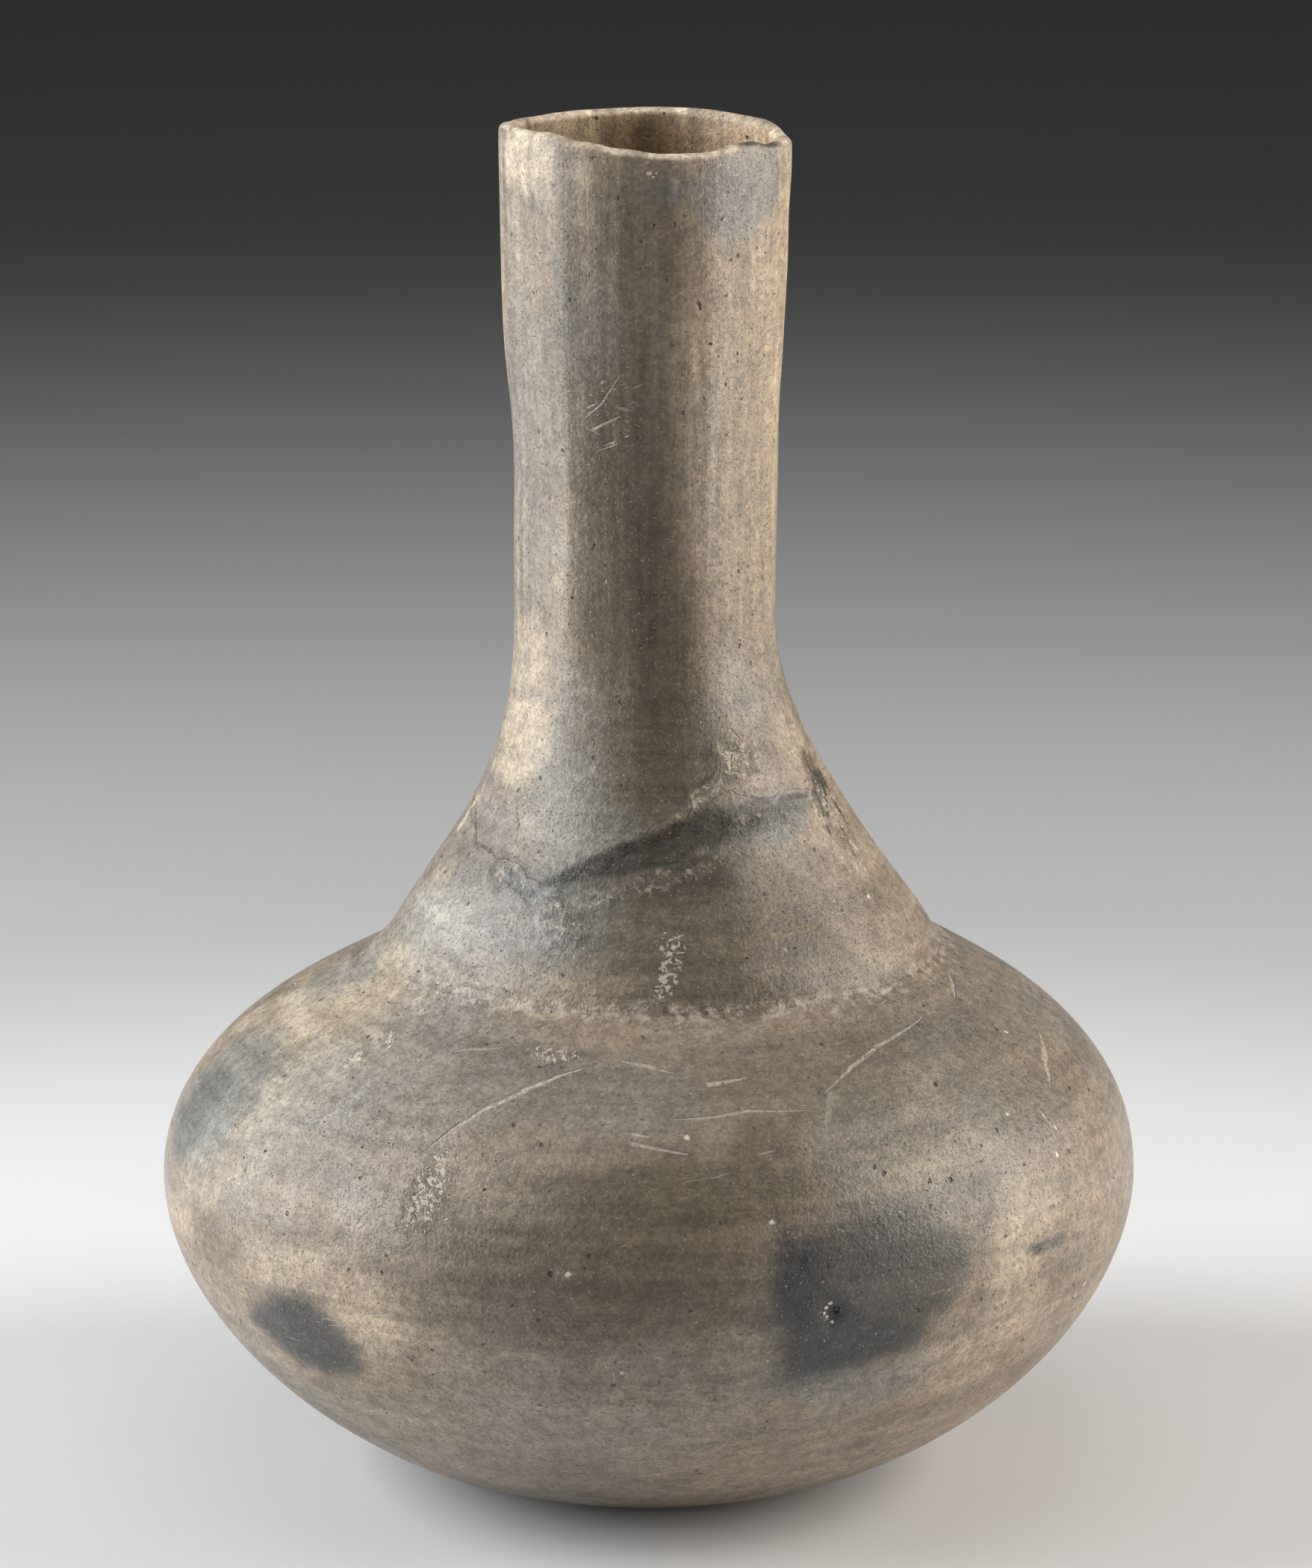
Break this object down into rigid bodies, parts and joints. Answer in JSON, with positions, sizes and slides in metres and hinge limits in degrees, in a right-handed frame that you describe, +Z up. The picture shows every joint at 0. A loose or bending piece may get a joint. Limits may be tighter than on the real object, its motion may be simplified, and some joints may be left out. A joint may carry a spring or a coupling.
{
  "type": "long-necked pottery bottle",
  "caption": "Hand-built pottery bottle with a rounded body, a conical shoulder and a tall open neck, rejoined along an old break.",
  "frame": {"origin": "middle of the flat underside, on the surface that the bottle stands on", "axes": "+Z up through the neck, -Y towards the side shown in the picture, +X to the right of that side"},
  "size_m": [0.173, 0.173, 0.2411],
  "materials": {
    "fired_clay": "burnished, mottled grey and tan",
    "old_adhesive": "aged, satin",
    "pale_fill": "crumbly, matt",
    "toned_fill": "smooth, matt",
    "dark_fill": "stained, matt"
  },
  "bodies": {
    "root": {"lower_bowl": "fired_clay", "upper_bowl": "fired_clay", "cone_collar": "fired_clay", "neck": "fired_clay", "adhesive_seam": "old_adhesive", "patch_left": "toned_fill", "crumb_fill_left": "pale_fill", "dark_fill_front": "dark_fill", "fill_right": "toned_fill"}
  },
  "joints": []
}
